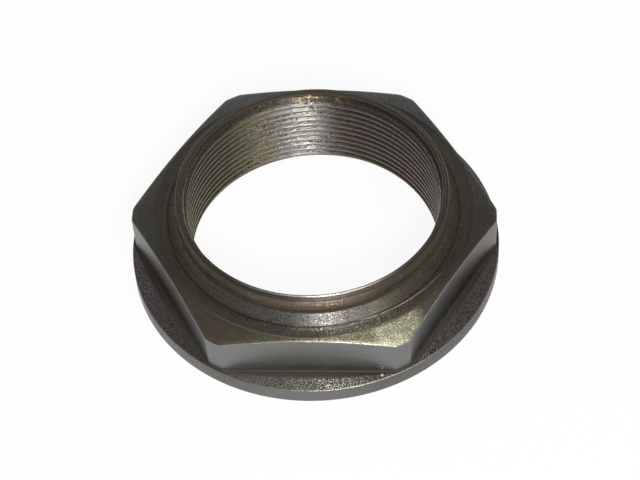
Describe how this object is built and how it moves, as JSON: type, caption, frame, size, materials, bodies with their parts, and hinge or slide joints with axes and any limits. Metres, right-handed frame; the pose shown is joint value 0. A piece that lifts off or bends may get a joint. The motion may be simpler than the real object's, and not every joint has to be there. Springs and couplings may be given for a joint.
{
  "type": "flanged collar nut",
  "caption": "Large thin hexagon nut with a round flange below and a thin raised collar round its fine-threaded bore.",
  "frame": {"origin": "centre of the bearing face, under the flange", "axes": "+Z along the thread from the bearing face to the collar's rim; the hexagon's flats face -Y and +Y"},
  "size_m": [0.0745, 0.0744, 0.0194],
  "materials": {
    "steel": "machined, dark and oily"
  },
  "bodies": {
    "root": {"nut": "steel"}
  },
  "joints": []
}
